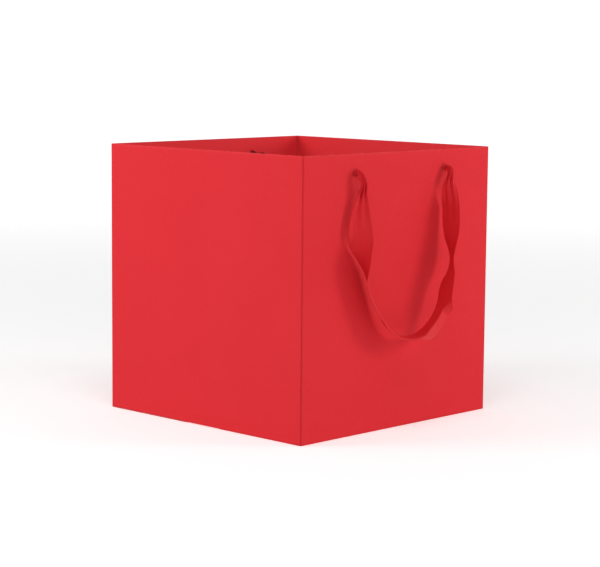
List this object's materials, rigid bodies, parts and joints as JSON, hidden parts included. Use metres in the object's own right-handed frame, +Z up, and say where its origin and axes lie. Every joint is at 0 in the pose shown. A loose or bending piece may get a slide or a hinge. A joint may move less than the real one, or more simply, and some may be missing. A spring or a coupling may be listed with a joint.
{
  "type": "gift bag",
  "caption": "Square-bottomed paper gift bag with an open top, folded rim, ribbon handles held by bars inside the rim, and a loose base board.",
  "frame": {"origin": "on the floor under the centre of the bag", "axes": "+Z up, -Y out of the front panel, +X to the right seen from the front"},
  "size_m": [0.25, 0.3136, 0.25],
  "materials": {
    "paper_outside": "matt laminated red paper",
    "paper_inside": "matt red paper, turned in",
    "ribbon": "woven red ribbon with a soft sheen",
    "card": "grey card",
    "anchor": "black moulded plastic"
  },
  "bodies": {
    "bag": {"front_panel": "paper_outside", "right_gusset_front_half": "paper_outside", "right_gusset_back_half": "paper_outside", "right_seam_tab": "paper_outside", "front_turn_in": "paper_inside", "right_turn_in": "paper_inside", "front_bottom_flap": "paper_outside", "right_bottom_flap": "paper_outside", "back_panel": "paper_outside", "left_gusset_back_half": "paper_outside", "left_gusset_front_half": "paper_outside", "left_seam_tab": "paper_outside", "back_turn_in": "paper_inside", "left_turn_in": "paper_inside", "back_bottom_flap": "paper_outside", "left_bottom_flap": "paper_outside", "front_card": "card", "back_card": "card"},
    "base_board": {"base_board": "card"},
    "front_handle": {"front_ribbon": "ribbon"},
    "back_handle": {"back_ribbon": "ribbon"},
    "front_left_anchor": {"front_left_bar": "anchor", "front_left_ribbon_end": "ribbon"},
    "front_right_anchor": {"front_right_bar": "anchor", "front_right_ribbon_end": "ribbon"},
    "back_left_anchor": {"back_left_bar": "anchor", "back_left_ribbon_end": "ribbon"},
    "back_right_anchor": {"back_right_bar": "anchor", "back_right_ribbon_end": "ribbon"}
  },
  "joints": [
    {"name": "front_handle_swing", "type": "hinge", "parent": "bag", "child": "front_handle", "pos_m": [0, -0.1281, 0.233], "axis": [-1, 0, 0], "range_deg": [0, 145]},
    {"name": "back_handle_swing", "type": "hinge", "parent": "bag", "child": "back_handle", "pos_m": [0, 0.1281, 0.233], "axis": [1, 0, 0], "range_deg": [0, 145]},
    {"name": "base_board_lift", "type": "slide", "parent": "bag", "child": "base_board", "axis": [0, 0, 1], "range_m": [0, 0.27]},
    {"name": "front_left_anchor_turn", "type": "hinge", "parent": "bag", "child": "front_left_anchor", "pos_m": [-0.06, -0.125, 0.233], "axis": [0, -1, 0], "range_deg": [-90, 90]},
    {"name": "front_right_anchor_turn", "type": "hinge", "parent": "bag", "child": "front_right_anchor", "pos_m": [0.06, -0.125, 0.233], "axis": [0, -1, 0], "range_deg": [-90, 90]},
    {"name": "back_left_anchor_turn", "type": "hinge", "parent": "bag", "child": "back_left_anchor", "pos_m": [-0.06, 0.125, 0.233], "axis": [0, 1, 0], "range_deg": [-90, 90]},
    {"name": "back_right_anchor_turn", "type": "hinge", "parent": "bag", "child": "back_right_anchor", "pos_m": [0.06, 0.125, 0.233], "axis": [0, 1, 0], "range_deg": [-90, 90]}
  ]
}
